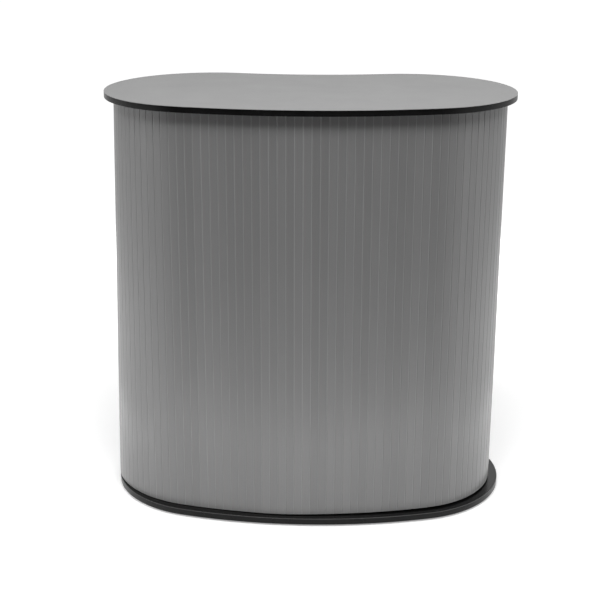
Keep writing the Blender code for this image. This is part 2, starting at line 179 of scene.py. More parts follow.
# Round pieces, and the steps of their eased corners
CORNERS = ("front_left", "front_right", "back_left", "back_right")
ROUND_SIDES = 64
FINE_STEPS = 4
COARSE_STEPS = 3
POST_RADIUS = 0.015
BORE_RADIUS = 0.0135
TUBE_EASE = 0.0004
PLUG_RADIUS = 0.0132
PLUG_EASE = 0.001
FLANGE_RADIUS = 0.030
FLANGE_THICKNESS = 0.004
FLANGE_SEAT_EASE = 0.0004
FLANGE_EASE = 0.0009
SPIGOT_ROOT_EASE = 0.0006
SPIGOT_TAPER = 0.0015
COLLAR_THICKNESS = 0.002
COLLAR_EASE = 0.0004
STUD_RADIUS = 0.006
STUD_POINT = 0.0015
THREAD_PITCH = 0.00175
THREAD_DEPTH = 0.0009
THREAD_CREST_SHARE = 0.10
SOCKET_DEPTH = 0.0152
SOCKET_MOUTH_EASE = 0.0003
FEET = ("front_left", "front_middle", "front_right", "back_left", "back_middle", "back_right")
FOOT_RADIUS = 0.014
FOOT_EASE = 0.0010
FOOT_SMALL_EASE = 0.0004
FOOT_RECESS_RADIUS = 0.005
FOOT_RECESS_DEPTH = 0.002

# Screws of the flanges and feet; the profile's pairs are shares of the radius and of the height
SCREW_SIDES = 24
SCREW_RADIUS = 0.0036
SCREW_HEIGHT = 0.0019
SCREW_CIRCLE = 0.0228
SCREW_PROFILE = ((1.0, 0.35), (0.93, 0.70), (0.75, 0.93))
FLANGE_SCREWS = 3
FOOT_SCREW_SHARE = 0.95
FOOT_SCREW_TURN = 0.4
CROSS_ARM = 0.0019
CROSS_WIDTH = 0.00045
CROSS_DEPTH = 0.0011
CROSS_TAPER = 0.8
SEAT_CLEARANCE = 0.00005

# Soft lights, each with its place, the point it faces, its width and height, and its power in watts
LAMPS = {
    "overhead": ((0.0, -1.3, 3.2), (0.0, 0.0, 0.6), (2.2, 1.4), 40.9),
    "front_high": ((0.0, -1.5, 2.9), (0.0, -0.2, 0.7), (1.6, 0.8), 32.8),
    "right_high": ((1.9, -0.4, 2.8), (0.0, 0.0, 0.3), (1.4, 1.4), 15.2),
    "back": ((0.0, 2.4, 0.7), (0.0, 0.0, 0.5), (2.2, 1.0), 35.0),
    "left_side": ((-2.2, -0.3, 0.9), (-0.4, 0.0, 0.8), (1.0, 0.6), 15.7),
    "right_side": ((2.2, -0.3, 0.9), (0.4, 0.0, 0.8), (1.0, 0.6), 5.2),
    "left_low": ((-1.9, 0.2, 0.35), (-0.3, 0.0, 0.2), (1.4, 0.6), 3.2),
    "right_low": ((1.9, 0.2, 0.35), (0.3, 0.0, 0.2), (1.4, 0.6), 3.8),
    "foot_front": ((0.0, -0.72, 0.03), (0.0, -0.25, 0.10), (1.4, 0.05), 2.6),
    "foot_left": ((-0.85, -0.05, 0.03), (-0.4, 0.0, 0.10), (1.0, 0.05), 1.3),
    "foot_right": ((0.85, -0.05, 0.03), (0.4, 0.0, 0.10), (1.0, 0.05), 1.5),
}
WORLD_LIGHT = 0.04

# Floor: radius, sides and tone, how much it is lifted to white near the desk and far from it, and
# how far out near and far are
FLOOR_RADIUS = 30.0
FLOOR_SIDES = 96
FLOOR_TONE = 0.84
NEAR_LIFT = 0.32
FAR_LIFT = 1.0
NEAR_REACH = 0.5
FAR_REACH = 2.4

# Where the floor shows in the desk's gloss, as directions from the desk, counted from its front:
# not ahead of it, fully beside it, and fainter behind it
GLOSS_AHEAD_FULL = math.radians(40)
GLOSS_AHEAD_NONE = math.radians(58)
GLOSS_BEHIND_NONE = math.radians(100)
GLOSS_BEHIND_FULL = math.radians(125)
GLOSS_BEHIND_SHARE = 0.62

# Camera
IMAGE_PIXELS = 600
FOCAL_PIXELS = 1295.0
SENSOR = 36.0
CAMERA_PLACE = (0.0555, -3.0316, 1.4937)
CAMERA_PITCH = math.radians(18.457)
CAMERA_YAW = math.radians(1.47)
CAMERA_ROLL = math.radians(0.178)


# Node helpers

def shader_of(name, colour, roughness, metallic=0.0, specular=0.5):
    """A new material with the given plain values; returns it with its tree and its shader."""
    material = bpy.data.materials.new(name)
    material.use_nodes = True
    tree = material.node_tree
    shader = tree.nodes["Principled BSDF"]
    shader.inputs["Base Color"].default_value = (*colour, 1.0)
    shader.inputs["Roughness"].default_value = roughness
    shader.inputs["Metallic"].default_value = metallic
    shader.inputs["Specular IOR Level"].default_value = specular
    return material, tree, shader


def connect(tree, value, socket):
    """Link an output to an input."""
    tree.links.new(value, socket)


def node(tree, kind, settings=None, **values):
    """A new node with its settings, and with values or links on its inputs by name."""
    made = tree.nodes.new("ShaderNode" + kind)
    for key, value in (settings or {}).items():
        setattr(made, key, value)
    for key, value in values.items():
        name = key.replace("_", " ")
        socket = made.inputs[int(key[1:])] if key[0] == "i" and key[1:].isdigit() else made.inputs[name]
        if isinstance(value, bpy.types.NodeSocket):
            connect(tree, value, socket)
        else:
            socket.default_value = value
    return made


def maths(tree, operation, first, second=0.0, third=0.0):
    """The output of one Math node."""
    made = node(tree, "Math", {"operation": operation}, i0=first, i1=second, i2=third)
    return made.outputs[0]


def place(tree, stretch=(1.0, 1.0, 1.0)):
    """Coordinates of the surface, stretched along each axis."""
    start = node(tree, "TexCoord").outputs["Object"]
    return node(tree, "Mapping", Vector=start, Scale=stretch).outputs["Vector"]


def wrap_place(tree):
    """Coordinates on the wrap laid flat: along it and up it."""
    return node(tree, "UVMap", {"uv_map": "wrap_plan"}).outputs["UV"]


def grain(tree, vector, scale, detail=3.0, roughness=0.6):
    """A noise between zero and one."""
    return node(tree, "TexNoise", Vector=vector, Scale=scale, Detail=detail,
                Roughness=roughness).outputs["Fac"]


def between(tree, factor, low, high):
    """A value that runs from low to high as the factor runs from a quarter to three quarters."""
    made = node(tree, "MapRange", Value=factor, From_Min=0.25, From_Max=0.75, To_Min=low, To_Max=high)
    return made.outputs["Result"]


def grey_between(tree, factor, low, high):
    """A neutral colour between two greys."""
    value = between(tree, factor, low, high)
    return node(tree, "CombineColor", Red=value, Green=value, Blue=value).outputs["Color"]


def towards(tree, share, colour, grey):
    """A colour taken the given share of the way to a grey."""
    # A Mix node's colours are its inputs 6 and 7 and its output 2
    made = node(tree, "Mix", {"data_type": "RGBA"}, Factor=share, i6=colour,
                i7=(grey, grey, grey, 1.0))
    return made.outputs[2]


def relief(tree, shader, height, distance, strength=1.0):
    """Give the shader a bump of the given depth."""
    bump = node(tree, "Bump", Height=height, Distance=distance, Strength=strength)
    connect(tree, bump.outputs["Normal"], shader.inputs["Normal"])


# Materials

def laminate_material():
    """Mid-grey laminate with a fine pebbled face."""
    material, tree, shader = shader_of("grey_laminate_face", (0.21, 0.21, 0.21), 0.45)
    here = place(tree)
    cloud = grain(tree, here, 9.0, 4.0)
    fleck = grain(tree, place(tree, (0.35, 1.0, 1.0)), 420.0, 2.0)
    mixed = maths(tree, "MULTIPLY_ADD", fleck, 0.6, maths(tree, "MULTIPLY", cloud, 0.4))
    connect(tree, grey_between(tree, mixed, 0.202, 0.222), shader.inputs["Base Color"])
    connect(tree, between(tree, cloud, 0.42, 0.50), shader.inputs["Roughness"])
    relief(tree, shader, grain(tree, here, 1300.0, 2.0), 0.00012, 0.35)
    return material


def edging_material(name, tone, roughness, specular, rim=None):
    """Black plastic edge band with faint drawn lines along it, and a painted highlight at a rim's
    height.
    """
    material, tree, shader = shader_of(name, (tone, tone, tone), roughness, specular=specular)
    here = place(tree)
    lines = grain(tree, place(tree, (4.0, 4.0, 900.0)), 1.0, 2.0)
    cloud = grain(tree, here, 30.0)
    colour = grey_between(tree, cloud, tone * 0.8, tone * 1.2)
    if rim is not None:
        # Painted highlight: the top of the rim's eased corner is painted a paler grey
        height = node(tree, "SeparateXYZ", Vector=here).outputs["Z"]
        share = node(tree, "MapRange", Value=height, From_Min=rim - RIM_HIGHLIGHT_START,
                     From_Max=rim - RIM_HIGHLIGHT_STOP)
        colour = towards(tree, share.outputs["Result"], colour, RIM_HIGHLIGHT_TONE)
    connect(tree, colour, shader.inputs["Base Color"])
    connect(tree, between(tree, cloud, roughness - 0.05, roughness + 0.06),
            shader.inputs["Roughness"])
    relief(tree, shader, lines, 0.00006, 0.4)
    return material


def board_material():
    """Black laminate with a fine crystal texture."""
    material, tree, shader = shader_of("black_board_face", (0.0025, 0.0025, 0.0025), 0.21,
                                       specular=0.28)
    here = place(tree)
    fine = grain(tree, here, 1400.0, 2.0)
    cloud = grain(tree, here, 24.0, 4.0)
    connect(tree, grey_between(tree, fine, 0.0015, 0.0035), shader.inputs["Base Color"])
    connect(tree, between(tree, cloud, 0.17, 0.25), shader.inputs["Roughness"])
    relief(tree, shader, fine, 0.0001, 0.3)
    return material


def slat_material():
    """Satin grey plastic with drawn lines up each slat and paler, stretched hinges between them."""
    material, tree, shader = shader_of("grey_slat_face", (0.143, 0.143, 0.143), 0.30, specular=0.50)
    along = wrap_place(tree)
    lines = grain(tree, node(tree, "Mapping", Vector=along, Scale=(520.0, 1.3, 1.0)).outputs["Vector"],
                  1.0, 3.0)
    cloud = grain(tree, node(tree, "Mapping", Vector=along, Scale=(5.0, 2.0, 1.0)).outputs["Vector"],
                  1.0, 3.0)
    tone = node(tree, "Attribute", {"attribute_name": "slat_tone"}).outputs["Fac"]
    joint = node(tree, "Attribute", {"attribute_name": "joint_tone"}).outputs["Fac"]
    mixed = maths(tree, "MULTIPLY_ADD", lines, 0.30, maths(tree, "MULTIPLY", cloud, 0.25))
    mixed = maths(tree, "MULTIPLY_ADD", tone, 0.45, mixed)
    plain = grey_between(tree, mixed, 0.136, 0.150)
    height = node(tree, "SeparateXYZ", Vector=along).outputs["Y"]
    left_over = node(tree, "MapRange", Value=height, From_Min=WRAP_LOW, From_Max=WRAP_HIGH,
                     To_Min=JOINT_FOOT_SHARE, To_Max=1.0).outputs["Result"]
    pale = towards(tree, maths(tree, "MULTIPLY", joint, left_over), plain, HINGE_TONE)
    # Painted shade: the slats are painted darker in a strip just under the counter's rim
    rim_shade = node(tree, "MapRange", {"interpolation_type": "SMOOTHSTEP"}, Value=height,
                From_Min=WRAP_HIGH - PAINTED_SHADE_END, From_Max=WRAP_HIGH - PAINTED_SHADE_FULL,
                To_Min=1.0, To_Max=PAINTED_SHADE_TONE)
    shaded = node(tree, "VectorMath", {"operation": "SCALE"}, i0=pale, Scale=rim_shade.outputs["Result"])
    connect(tree, shaded.outputs["Vector"], shader.inputs["Base Color"])
    connect(tree, between(tree, lines, 0.27, 0.34), shader.inputs["Roughness"])
    relief(tree, shader, lines, 0.00008, 0.35)
    return material


def backing_material():
    """Pale plain-woven cloth."""
    material, tree, shader = shader_of("pale_backing_cloth", (0.42, 0.42, 0.41), 0.9, specular=0.15)
    plan = wrap_place(tree)
    warp, weft = (node(tree, "TexWave", {"bands_direction": way}, Vector=plan, Scale=THREAD_SCALE,
                       Distortion=0.4).outputs["Fac"] for way in ("X", "Y"))
    check = node(tree, "TexChecker", Vector=plan, Scale=CROSS_SCALE).outputs["Fac"]
    over = maths(tree, "MULTIPLY", warp, check)
    under = maths(tree, "MULTIPLY", weft, maths(tree, "SUBTRACT", 1.0, check))
    weave = maths(tree, "ADD", over, under)
    cloud = grain(tree, plan, 40.0, 4.0)
    mixed = maths(tree, "MULTIPLY_ADD", weave, 0.5, maths(tree, "MULTIPLY", cloud, 0.5))
    connect(tree, grey_between(tree, mixed, 0.34, 0.47), shader.inputs["Base Color"])
    relief(tree, shader, weave, 0.00025, 0.6)
    return material


def channel_material():
    """Satin mid-grey extrusion with drawn lines."""
    material, tree, shader = shader_of("grey_channel_face", (0.16, 0.16, 0.16), 0.38)
    lines = grain(tree, place(tree, (900.0, 900.0, 3.0)), 1.0, 2.0)
    connect(tree, grey_between(tree, lines, 0.145, 0.175), shader.inputs["Base Color"])
    connect(tree, between(tree, lines, 0.33, 0.44), shader.inputs["Roughness"])
    relief(tree, shader, lines, 0.00006, 0.3)
    return material


def tape_material():
    """Black tape, dense with small hooks."""
    material, tree, shader = shader_of("black_hook_tape", (0.015, 0.015, 0.015), 0.95, specular=0.2)
    hooks = node(tree, "TexVoronoi", Vector=place(tree), Scale=900.0).outputs["Distance"]
    connect(tree, grey_between(tree, hooks, 0.028, 0.008), shader.inputs["Base Color"])
    relief(tree, shader, hooks, 0.0006, 0.8)
    return material


def aluminium_material():
    """Satin anodised tube, drawn along its length."""
    material, tree, shader = shader_of("satin_aluminium_tube", (0.60, 0.60, 0.61), 0.32, metallic=1.0)
    lines = grain(tree, place(tree, (1100.0, 1100.0, 5.0)), 1.0, 3.0)
    cloud = grain(tree, place(tree, (1.0, 1.0, 0.4)), 25.0, 3.0)
    mixed = maths(tree, "MULTIPLY_ADD", lines, 0.6, maths(tree, "MULTIPLY", cloud, 0.4))
    connect(tree, grey_between(tree, mixed, 0.56, 0.65), shader.inputs["Base Color"])
    connect(tree, between(tree, mixed, 0.26, 0.40), shader.inputs["Roughness"])
    relief(tree, shader, lines, 0.00005, 0.35)
    return material


def steel_material():
    """Bright zinc plating with the faint cloudiness of its bath."""
    material, tree, shader = shader_of("zinc_steel_face", (0.48, 0.48, 0.49), 0.36, metallic=1.0)
    here = place(tree)
    cloud = grain(tree, here, 160.0, 5.0, 0.7)
    connect(tree, grey_between(tree, cloud, 0.42, 0.55), shader.inputs["Base Color"])
    connect(tree, between(tree, cloud, 0.28, 0.44), shader.inputs["Roughness"])
    relief(tree, shader, grain(tree, here, 1500.0), 0.00004, 0.3)
    return material


def plastic_material():
    """Moulded black plastic with a spark-eroded grain."""
    material, tree, shader = shader_of("black_plastic_face", (0.025, 0.025, 0.025), 0.48)
    here = place(tree)
    fine = grain(tree, here, 1700.0, 2.0)
    connect(tree, grey_between(tree, fine, 0.020, 0.030), shader.inputs["Base Color"])
    connect(tree, between(tree, grain(tree, here, 90.0), 0.42, 0.54), shader.inputs["Roughness"])
    relief(tree, shader, fine, 0.00012, 0.4)
    return material


def rubber_material():
    """Matt black rubber, greyed a little by dust."""
    material, tree, shader = shader_of("black_rubber_face", (0.018, 0.018, 0.018), 0.85, specular=0.3)
    here = place(tree)
    dust = grain(tree, here, 220.0, 5.0, 0.7)
    connect(tree, grey_between(tree, dust, 0.014, 0.030), shader.inputs["Base Color"])
    relief(tree, shader, grain(tree, here, 1200.0), 0.00015, 0.5)
    return material


# Outlines

def wrap_stations(fineness):
    """Arc and angle of every division of the wrap; each slat's width has fineness of them."""
    stations = []
    for number in range(SLATS * fineness + 1):
        distance = WRAP_MARGIN + number * SLAT_PITCH / fineness
        which = 0
        while distance > WRAPPED_LENGTHS[which]:
            distance -= WRAPPED_LENGTHS[which]
            which += 1
        arc = WRAPPED_ARCS[which]
        stations.append((arc, arc[3] + distance / (arc[1] - WRAP_INSET)))
    return stations


def open_stations(fineness):
    """Arc and angle of the outline's divisions past the wrap."""
    stations = []
    for arc in OPEN_ARCS:
        _, radius, _, start, stop = arc
        steps = max(1, round(abs(stop - start) * radius / SLAT_PITCH)) * fineness
        stations += [(arc, start + (stop - start) * step / steps) for step in range(steps)]
    stations.append((OPEN_ARCS[-1], QUARTER))
    return stations


def points_at(stations, inset):
    """The points of an outline that lies inset from the edge."""
    points = []
    for (centre, radius, growth, _, _), angle in stations:
        reach = radius + growth * inset
        points.append(Vector((centre[0] + reach * math.cos(angle),
                              centre[1] + reach * math.sin(angle))))
    return points


def wrapped_part(inset, fineness=1):
    """The stretch of an outline that the wrap covers, from its left end to its right end."""
    return points_at(wrap_stations(fineness), inset)


def outline(inset, fineness=FINENESS):
    """Kidney outline lying inset from the edge, anticlockwise from the wrap's left end."""
    return wrapped_part(inset, fineness) + points_at(open_stations(fineness), inset)


def eased(points, radii, steps=EDGE_STEPS):
    """A closed line of (a, b) pairs with its corners rounded; a radius of zero stays sharp."""
    result = []
    for i, radius in enumerate(radii):
        here = Vector(points[i])
        if not radius:
            result.append(here)
            continue
        before = (Vector(points[i - 1]) - here).normalized()
        after = (Vector(points[(i + 1) % len(points)]) - here).normalized()
        half = before.angle(after) / 2
        middle = here + (before + after).normalized() * radius / math.sin(half)
        start = here + before * radius / math.tan(half) - middle
        stop = here + after * radius / math.tan(half) - middle
        result += [middle + start.slerp(stop, step / steps) * radius for step in range(steps + 1)]
    return result


# Meshes

def add_piece(name, verts, faces, material, slot, body, nodes=()):
    """A smooth-shaded mesh that rides on a body and stands for the nodes named."""
    mesh = bpy.data.meshes.new(name)
    mesh.from_pydata([tuple(vert) for vert in verts], [], faces)
    bm = bmesh.new()
    bm.from_mesh(mesh)
    bmesh.ops.remove_doubles(bm, verts=bm.verts, dist=MERGE_DISTANCE)
    bmesh.ops.recalc_face_normals(bm, faces=bm.faces)
    bm.to_mesh(mesh)
    bm.free()
    mesh.shade_smooth()
    mesh.set_sharp_from_angle(angle=SHARP_ANGLE)
    mesh.materials.append(material)
    piece = bpy.data.objects.new(name, mesh)
    bpy.context.scene.collection.objects.link(piece)
    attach(piece, body)
    if nodes:
        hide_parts(*nodes)
    return piece


def loop_faces(loops, count, closed=False):
    """Quads between loops of equally many points, numbered one loop after another."""
    faces = []
    pairs = list(zip(range(loops - 1), range(1, loops)))
    if closed:
        pairs.append((loops - 1, 0))
    for low, high in pairs:
        for i in range(count):
            j = (i + 1) % count
            faces.append((low * count + i, low * count + j, high * count + j, high * count + i))
    return faces


def kidney(name, profile, capped, **finish):
    """Sweep a profile of (inset, height) pairs round the outline; capped closes it as a board."""
    loops = {inset: outline(inset) for inset, _ in profile}
    verts = [(point.x, point.y, height) for inset, height in profile for point in loops[inset]]
    count = len(verts) // len(profile)
    faces = loop_faces(len(profile), count, closed=not capped)
    if capped:
        faces.append(tuple(reversed(range(count))))
        faces.append(tuple(range(len(verts) - count, len(verts))))
    return add_piece(name, verts, faces, **finish)


def board_profile(inset, low, high, low_round, high_round):
    """Profile of a board's eased edge, from its underside to its top."""
    corners = [(inset + CAP_SUPPORT, low), (inset, low), (inset, high), (inset + CAP_SUPPORT, high)]
    return eased(corners, [0, low_round, high_round, 0])


def board(name, *measures, **finish):
    """A board with the kidney outline and eased rims."""
    return kidney(name, board_profile(*measures), True, **finish)


def band(name, low, high, low_round, high_round, **finish):
    """An edge band with eased outer corners."""
    corners = [(0, low), (0, high), (BAND_THICKNESS, high), (BAND_THICKNESS, low)]
    return kidney(name, eased(corners, [low_round, high_round, 0, 0]), False, **finish)


def turned(name, spot, profile, **finish):
    """Revolve a closed profile of (radius, height) pairs about the upright through a spot."""
    verts = []
    for radius, height in profile:
        for side in range(ROUND_SIDES):
            turn = 2 * math.pi * side / ROUND_SIDES
            verts.append((spot[0] + radius * math.cos(turn), spot[1] + radius * math.sin(turn), height))
    open_ended = profile[0][0] > 0
    faces = loop_faces(len(profile), ROUND_SIDES, closed=open_ended)
    faces = [tuple(dict.fromkeys(face)) for face in faces]
    return add_piece(name, verts, faces, **finish)


def span(node_name):
    """Lowest and highest height of a node."""
    low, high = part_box(node_name)
    return low.z, high.z


def middle(node_name):
    """Middle of a node in plan."""
    low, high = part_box(node_name)
    return (low.x + high.x) / 2, (low.y + high.y) / 2


# Wrap

def hang(x, y, z, along, outward):
    """Where a point of the wrap lies: spread, bulged and lifted at the foot, with gentle waves."""
    rise = (z - WRAP_LOW) / (WRAP_HIGH - WRAP_LOW)
    lift = FOOT_LIFTS[0] + (FOOT_LIFTS[1] - FOOT_LIFTS[0]) * ramp(x, *LIFT_PLACES)
    lift *= min(1.0, along / LIFT_END_SLATS, (SLATS - along) / LIFT_END_SLATS) * (1 - rise)
    beyond = -x - END_CENTRE
    if beyond > 0:
        x -= (1 - rise) * FOOT_SPREAD * (beyond / WRAP_END_RADIUS) ** 2
    held = min(1.0, (WRAP_HIGH - z) / HELD_HEIGHT) * min(1.0, (z - WRAP_LOW) / HELD_HEIGHT)
    held *= min(1.0, along / HELD_SLATS, (SLATS - along) / HELD_SLATS)
    wave = noise.noise(Vector((along / WAVE_SLATS, z / WAVE_HEIGHT, WAVE_SEED)))
    out = WAVE_DEPTH * held * (1 + wave) / 2
    aside = (x - BULGE_X) / BULGE_WIDTH
    out += BULGE_DEPTH * math.exp(-aside ** 2 - (z - WRAP_LOW) / BULGE_HEIGHT) if y < 0 else 0.0
    return x + outward.x * out, y + outward.y * out, z + lift


def raise_wrap(name, cells, marks, **finish):
    """Raise flat cells of (point, station) pairs through the wrap's height.

    marks gives each point's named values; they become attributes of the mesh.
    """
    rim_out = wrapped_part(WRAP_INSET)
    rim_in = wrapped_part(WRAP_INSET + SLAT_THICKNESS)
    outward = [(first - second).normalized() for first, second in zip(rim_out, rim_in)]
    numbers = {}
    plan = []
    loops = []
    for cell in cells:
        loop = []
        for point, station, values in cell:
            key = (round(point.x, 6), round(point.y, 6))
            if key not in numbers:
                numbers[key] = len(plan)
                plan.append((point, station, values))
            loop.append(numbers[key])
        loops.append(loop)
    directed = {pair for loop in loops for pair in zip(loop, loop[1:] + loop[:1])}
    rim = [pair for pair in sorted(directed) if (pair[1], pair[0]) not in directed]
    count = len(plan)
    heights = [WRAP_LOW + (WRAP_HIGH - WRAP_LOW) * row / WRAP_ROWS for row in range(WRAP_ROWS + 1)]
    verts = []
    for z in heights:
        for point, station, _ in plan:
            first = min(int(station), SLATS - 1)
            away = outward[first].lerp(outward[first + 1], station - first)
            verts.append(hang(point.x, point.y, z, station, away))
    top = count * WRAP_ROWS
    faces = [tuple(reversed(loop)) for loop in loops]
    faces += [tuple(number + top for number in loop) for loop in loops]
    for row in range(WRAP_ROWS):
        low = row * count
        high = low + count
        faces += [(a + low, b + low, b + high, a + high) for a, b in rim]
    piece = add_piece(name, verts, faces, **finish)
    mesh = piece.data
    for mark in marks:
        layer = mesh.attributes.new(mark, "FLOAT", "POINT")
        layer.data.foreach_set("value", [values[mark] for _ in heights for _, _, values in plan])
    plan_map = mesh.uv_layers.new(name="wrap_plan")
    for corner, data in zip(mesh.loops, plan_map.data):
        number = corner.vertex_index
        data.uv = (plan[number % count][1] * SLAT_PITCH, heights[number // count])
    return piece


def bend_share(number):
    """Zero for a joint on the front arc, rising to one as the wrap bends round an end."""
    start = (WRAPPED_LENGTHS[0] - WRAP_MARGIN) / SLAT_PITCH
    stop = start + WRAPPED_LENGTHS[1] / SLAT_PITCH
    return min(1.0, max(start - number, number - stop, 0.0) / JOINT_BEND_SHADE_SLATS)


def ramp(value, start, stop):
    """Zero up to start, one from stop on."""
    return min(1.0, max(0.0, (value - start) / (stop - start)))


def slat_cells():
    """One cell for each slat: eased corners, a crowned face and half of a hinge on each side."""
    draw = random.Random(SLAT_SEED)
    face = wrapped_part(WRAP_INSET)
    hinge = wrapped_part(WRAP_INSET + JOINT_DEPTH)
    hinge_back = wrapped_part(WRAP_INSET + JOINT_DEPTH + HINGE_THICKNESS)
    back = wrapped_part(WRAP_INSET + SLAT_THICKNESS)
    crown = wrapped_part(WRAP_INSET, FACE_POINTS)
    slat_tones = [draw.uniform(0, 1) for _ in range(SLATS)]
    # Painted shade: each joint's paleness is cut where the wrap bends round the ends
    joint_tones = [draw.uniform(*JOINT_TONES) * (1 - JOINT_BEND_SHADE * bend_share(number))
                   * (1 - (1 - JOINT_RIGHT_SHARE) * ramp(number, *JOINT_RIGHT_SLATS))
                   for number in range(SLATS + 1)]
    cells = []
    for i in range(SLATS):
        width = (face[i + 1] - face[i]).length
        along = (face[i + 1] - face[i]) / width
        deep = (hinge[i] - face[i]).normalized()
        cell = []

        def put(point, share, joint):
            number = i + round(share)
            values = {"slat_tone": slat_tones[i], "joint_tone": joint * joint_tones[number]}
            cell.append((point, i + share, values))

        def put_side(corner, way, share_of):
            """The half joint on one side of the slat, from its hinge to the slat's face."""
            for out, depth, joint in CORNER_POINTS[::way]:
                reach = JOINT_WIDTH / 2 + out * SLAT_CORNER
                put(corner + along * way * reach + deep * depth * SLAT_CORNER,
                    share_of(reach / width), joint)

        if i > 0:
            put(back[i] + along * JOINT_WIDTH / 2, 0, 0)
            put(hinge_back[i], 0, 0)
            put(hinge[i], 0, 1)
            put_side(face[i], 1, lambda share: share)
        else:
            put(back[i], 0, 0)
            put(face[i], 0, 0)
        for step in range(1, FACE_POINTS):
            share = step / FACE_POINTS
            flat = face[i].lerp(face[i + 1], share)
            put(flat.lerp(crown[i * FACE_POINTS + step], CROWN_SHARE), share, 0)
        if i + 1 < SLATS:
            put_side(face[i + 1], -1, lambda share: 1 - share)
            put(hinge[i + 1], 1, 1)
            put(hinge_back[i + 1], 1, 0)
            put(back[i + 1] - along * JOINT_WIDTH / 2, 1, 0)
        else:
            put(face[i + 1], 1, 0)
            put(back[i + 1], 1, 0)
        cells.append(cell)
    return cells


def backing_cells():
    """One cell of the cloth behind each slat."""
    outer = wrapped_part(WRAP_INSET + SLAT_THICKNESS + GAP)
    inner = wrapped_part(WRAP_INSET + WRAP_THICKNESS)
    plain = {}
    return [[(outer[i], float(i), plain), (outer[i + 1], i + 1.0, plain),
             (inner[i + 1], i + 1.0, plain), (inner[i], float(i), plain)] for i in range(SLATS)]


def make_stile(name, end, inward, material):
    """The channel on an end of the wrap, its outer corners eased."""
    along = (end - inward).normalized()
    deep = Vector((along.y, -along.x))
    if deep.dot(Vector((0, MIDDLE_Y)) - end) < 0:
        deep = -deep
    lip = -STILE_GRIP
    slot = STILE_END_CLEARANCE
    nose = slot + STILE_WALL
    outside = -GAP - STILE_WALL
    back = WRAP_THICKNESS + GAP
    inside = back + STILE_WALL
    corners = [(lip, outside), (nose, outside), (nose, inside), (lip, inside),
               (lip, back), (slot, back), (slot, -GAP), (lip, -GAP)]
    lip_ease = STILE_LIP_EASE
    corner_ease = STILE_CORNER_EASE
    radii = [lip_ease, corner_ease, corner_ease, lip_ease, lip_ease, 0, 0, lip_ease]
    spots = [end + along * reach + deep * depth for reach, depth in eased(corners, radii)]
    low, high = span(name)
    verts = [(spot.x, spot.y, z) for z in (low, high) for spot in spots]
    count = len(spots)
    faces = loop_faces(2, count)
    faces += [tuple(reversed(range(count))), tuple(range(count, 2 * count))]
    add_piece(name.replace("wrap_stile", "end_channel"), verts, faces, material=material,
              slot="grey_channel", body="desk", nodes=[name])


def make_wrap(finishes):
    """Slats, the cloth behind them and the channels on their two ends."""
    raise_wrap("hinged_slats", slat_cells(), ("slat_tone", "joint_tone"),
               material=finishes["slats"], slot="grey_slats", body="desk", nodes=["wrap_slats"])
    raise_wrap("backing_cloth", backing_cells(), (), material=finishes["backing"],
               slot="pale_backing", body="desk", nodes=["wrap_backing"])
    face = wrapped_part(WRAP_INSET)
    make_stile("left_wrap_stile", face[0], face[1], finishes["channel"])
    make_stile("right_wrap_stile", face[-1], face[-2], finishes["channel"])


# Boards

def make_boards(finishes):
    """Laminate, edge bands and the plates that the wrap fits round."""
    low, high = span("top_laminate")
    board("counter_laminate", 0, low, high, 0, LAMINATE_ROUND, material=finishes["laminate"],
          slot="grey_laminate", body="top", nodes=["top_laminate"])
    low, high = span("top_edge_band")
    band("counter_edging", low, high, BAND_ROUND, 0, material=finishes["top_edging"],
         slot="black_edging", body="top", nodes=["top_edge_band"])
    low, high = span("base_edge_band")
    band("base_edging", low, high, BAND_ROUND, BAND_ROUND, material=finishes["base_edging"],
         slot="black_edging", body="desk", nodes=["base_edge_band"])
    for name, body in (("top_locating_plate", "top"), ("base_locating_plate", "desk")):
        low, high = span(name)
        board(name.replace("locating", "wrap"), PLATE_INSET, low, high, PLATE_ROUND, PLATE_ROUND,
              material=finishes["board"], slot="black_board", body=body, nodes=[name])


# Posts, flanges and feet

def screw(verts, faces, spot, seat, facing, turn):
    """Add a low domed screw head with a cross recess; facing is 1 upwards or -1 downwards."""
    rings = [(SCREW_RADIUS, SEAT_CLEARANCE)]
    rings += [(SCREW_RADIUS * across, SCREW_HEIGHT * up) for across, up in SCREW_PROFILE]
    start = len(verts)

    def cross_radius(angle):
        fold = abs((angle + QUARTER / 2) % QUARTER - QUARTER / 2)
        return min(CROSS_ARM / math.cos(fold), CROSS_WIDTH / max(math.sin(fold), 1e-6))

    def ring(radius_of, height):
        for side in range(SCREW_SIDES):
            angle = 2 * math.pi * side / SCREW_SIDES
            radius = radius_of(angle)
            verts.append((spot[0] + radius * math.cos(angle + turn),
                          spot[1] + radius * math.sin(angle + turn), seat + facing * height))

    for radius, height in rings:
        ring(lambda angle, radius=radius: radius, height)
    ring(cross_radius, SCREW_HEIGHT)
    ring(lambda angle: cross_radius(angle) * CROSS_TAPER, SCREW_HEIGHT - CROSS_DEPTH)
    count = SCREW_SIDES
    loops = len(rings) + 2
    faces.extend(tuple(start + number for number in face) for face in loop_faces(loops, count))
    faces.append(tuple(start + number for number in reversed(range(count))))
    faces.append(tuple(start + (loops - 1) * count + number for number in range(count)))


